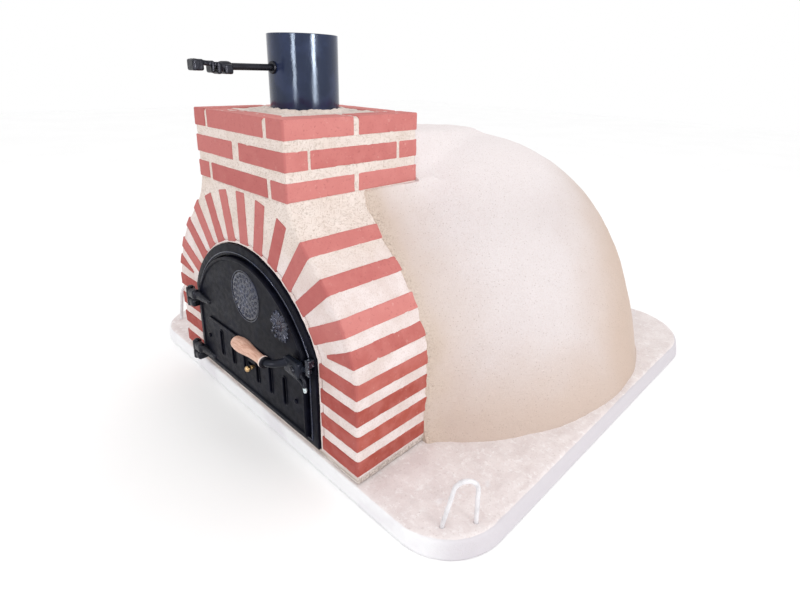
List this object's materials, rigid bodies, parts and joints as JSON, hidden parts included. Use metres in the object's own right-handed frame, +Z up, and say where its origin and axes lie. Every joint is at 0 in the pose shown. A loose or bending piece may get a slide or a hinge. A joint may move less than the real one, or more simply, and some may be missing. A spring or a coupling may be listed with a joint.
{
  "type": "wood fired pizza oven",
  "caption": "Plastered dome oven on a square slab, with a brick arch and chimney, a hinged cast iron door with latch and air vent, and a flue with a damper.",
  "frame": {"origin": "on the slab's flat underside, on its centre line, 0.6 m behind its front edge", "axes": "+Z up, -Y out of the door, +X to the right as seen facing the door"},
  "size_m": [1.2, 1.215, 0.838],
  "materials": {
    "concrete": "matte cast",
    "mortar": "sandy matte",
    "render": "sandy matte",
    "brick": "fired clay",
    "firebrick": "dry refractory",
    "fibre": "soft matte",
    "cast_iron": "black satin",
    "enamel": "black gloss",
    "white_steel": "white semi-gloss",
    "brass": "polished",
    "wood": "oiled"
  },
  "bodies": {
    "oven": {"arch_brick_1": "brick", "arch_brick_10": "brick", "arch_brick_11": "brick", "arch_brick_2": "brick", "arch_brick_3": "brick", "arch_brick_4": "brick", "arch_brick_5": "brick", "arch_brick_6": "brick", "arch_brick_7": "brick", "arch_brick_8": "brick", "arch_brick_9": "brick", "arch_masonry": "mortar", "arch_wedge_left": "brick", "arch_wedge_right": "brick", "base_slab": "concrete", "chimney_core": "mortar", "chimney_course_bottom": "brick", "chimney_course_middle": "brick", "chimney_course_top": "brick", "damper_bush_front": "cast_iron", "damper_bush_rear": "cast_iron", "door_frame": "cast_iron", "entry_tile": "firebrick", "flue_mortar_crown": "mortar", "flue_pipe": "enamel", "hearth_board": "fibre", "hearth_tile_front_left": "firebrick", "hearth_tile_front_right": "firebrick", "hearth_tile_rear_left": "firebrick", "hearth_tile_rear_right": "firebrick", "hinge_pin_lower": "cast_iron", "hinge_pin_upper": "cast_iron", "insulation_layer": "fibre", "jamb_brick_left_1": "brick", "jamb_brick_left_2": "brick", "jamb_brick_left_3": "brick", "jamb_brick_left_4": "brick", "jamb_brick_right_1": "brick", "jamb_brick_right_2": "brick", "jamb_brick_right_3": "brick", "jamb_brick_right_4": "brick", "latch_keeper": "cast_iron", "lifting_loop_front_left": "white_steel", "lifting_loop_front_right": "white_steel", "lifting_loop_rear_left": "white_steel", "lifting_loop_rear_right": "white_steel", "refractory_dome": "firebrick", "render_shell": "render"},
    "door": {"door_leaf": "cast_iron", "vent_screw_left": "cast_iron", "vent_screw_right": "cast_iron", "latch_pivot_screw": "cast_iron"},
    "latch": {"latch_lever": "cast_iron", "door_grip": "wood", "grip_collar": "cast_iron"},
    "vent": {"vent_slider": "cast_iron", "vent_knob": "brass"},
    "damper": {"damper_rod": "cast_iron", "damper_plate": "cast_iron", "damper_handle": "cast_iron"}
  },
  "joints": [
    {"name": "door_hinge", "type": "hinge", "parent": "oven", "child": "door", "pos_m": [-0.25, -0.619, 0.155], "axis": [0, 0, -1], "range_deg": [0, 120]},
    {"name": "latch_pivot", "type": "hinge", "parent": "door", "child": "latch", "pos_m": [0.212, -0.62, 0.234], "axis": [0, 1, 0], "range_deg": [0, 30]},
    {"name": "vent_slide", "type": "slide", "parent": "door", "child": "vent", "axis": [-1, 0, 0], "range_m": [0, 0.02]},
    {"name": "damper_turn", "type": "hinge", "parent": "oven", "child": "damper", "pos_m": [0, -0.432, 0.773], "axis": [0, 1, 0], "range_deg": [0, 90]}
  ]
}
